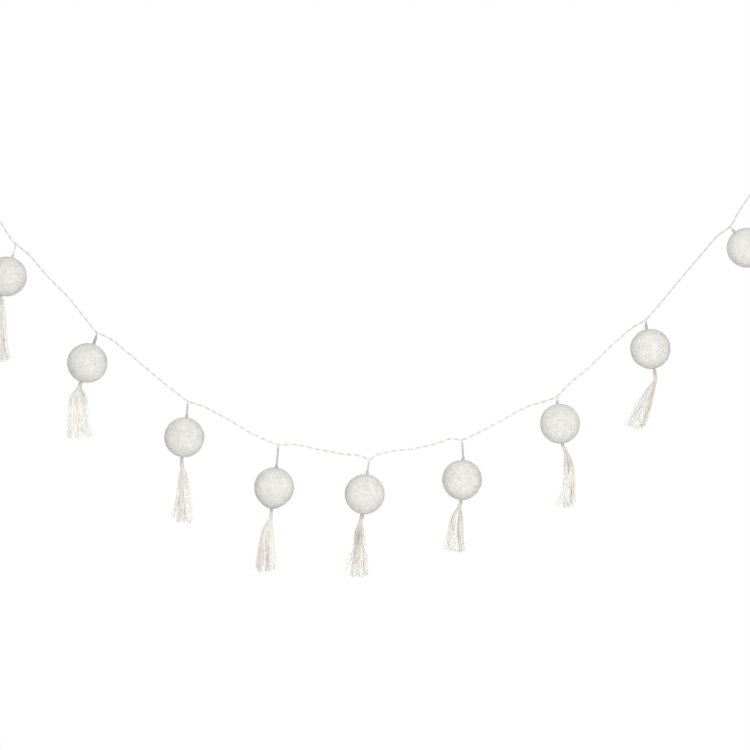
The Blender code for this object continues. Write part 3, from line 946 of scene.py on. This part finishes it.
def makeTassel(number, light, tassel):
    chance = random.Random(yarnPlan["seed"] + number)
    axis = lightAxis(light)
    top = ballMiddle(light) - axis * (poleHeights(light)[1] + pieceGap)
    neckPlace, paintedNeckShade = yarnPlan["paintedNeckShade"]
    places, shades = (neckPlace, *yarnPlan["shadePlaces"]), (paintedNeckShade, *tassel["shades"])
    lines, tints = [], []
    for lock in tassel["locks"]:
        shift = chance.uniform(-1, 1) * yarnPlan["depthShift"]
        turn = chance.uniform(0, math.tau)
        count = round(lock.yarns * yarnPlan["share"])
        for k in range(count):
            away = math.sqrt((k + 0.5) / count)
            angle = k * goldenAngle + turn
            spot = (away * math.cos(angle), away * math.sin(angle))
            line = yarnLine(top, axis, tassel, lock, spot, shift, chance)
            # painted shade: the yarns are painted darkest at the neck under the ball, and the tassel's shades
            # then mostly lighten toward the hem
            shade = np.interp(np.linspace(0, 1, len(line)), places, shades)
            lines.append(line)
            tints.append(np.clip(shade + lock.shade + chance.gauss(0, yarnPlan["shadeSpread"]), 0, 1))
    radii = []
    for line in lines:
        size = chance.uniform(*yarnPlan["sizes"])
        atBall, atHem = (size * share for share in yarnPlan["endSizes"])
        radii.append(np.concatenate([[atBall], np.full(len(line) - 2, size), [atHem]]))
    yarns = threads("yarns", lines, yarnPlan["radius"], sides=6, radii=radii, tints=tints)
    wear(yarns, creamYarn)
    binding = makeBinding(top, axis, tassel)
    wear(binding, bindingThread)
    bundle = joinAll(f"yarnTassel_{number}", [yarns, binding])
    bodyPiece(bundle, f"tassel_{number}")


for number, (light, tassel) in enumerate(zip(lightPlan, tasselPlan), start=1):
    makeTassel(number, light, tassel)
print("tassels tied")


# Studio: white surroundings, a pale floor below the picture, and soft lamps in front and behind

studio = {
    "backdrop": 1.0,           # what the camera sees behind the garland
    "surround": 0.545,         # how bright the white room is as light
    "floorDrop": 1.15,
    "floorRadius": 2.4,
    "floorSides": 96,
    "floorScale": 2,
    "floorShades": ((0.86, 0.86, 0.86), (0.89, 0.89, 0.89)),
    "floorRoughness": 0.8,
    "keyPower": 44,
    "keyPlace": (0.2, -2.32, 0.37),      # from the picture's middle
    "fillPower": 22,
    "fillPlace": (-0.3, 2.4, 0.4),
    "lampSize": 1.3,
    "toneView": "Standard",
}


def hangLamp(name, power, place):
    # a round soft lamp turned to the garland, which the camera doesn't see
    light = bpy.data.lights.new(name, "AREA")
    light.shape = "DISK"
    light.size = studio["lampSize"]
    light.energy = power
    lamp = bpy.data.objects.new(name, light)
    lamp.location = pictureMiddle + Vector(place)
    lamp.rotation_euler = (pictureMiddle - lamp.location).to_track_quat("-Z", "Y").to_euler()
    lamp.visible_camera = False
    bpy.context.scene.collection.objects.link(lamp)


bpy.context.scene.view_settings.view_transform = studio["toneView"]
world = bpy.data.worlds.new("studio")
bpy.context.scene.world = world
room = Board(world)
seen = room.node("ShaderNodeLightPath", output="Is Camera Ray")
level = room.spread(seen, 0, 1, studio["surround"], studio["backdrop"])
room.feed(world.node_tree.nodes["Background"], {"Color": (1, 1, 1, 1), "Strength": level})

deselectAll()
bpy.ops.mesh.primitive_circle_add(
    vertices=studio["floorSides"], radius=studio["floorRadius"], fill_type="NGON",
    location=pictureMiddle - up * studio["floorDrop"],
)
floor = bpy.context.object
floor.name = "paleFloor"
freeze(floor)
floorBoard = Board(bpy.data.materials.new("paleFloor"))
floorColour = floorBoard.mixColours(floorBoard.noise(studio["floorScale"]), *studio["floorShades"])
wear(floor, floorBoard.finish(colour=floorColour, roughness=studio["floorRoughness"]))
hangLamp("key", studio["keyPower"], studio["keyPlace"])
hangLamp("fill", studio["fillPower"], studio["fillPlace"])
print("studio lit")

deselectAll()
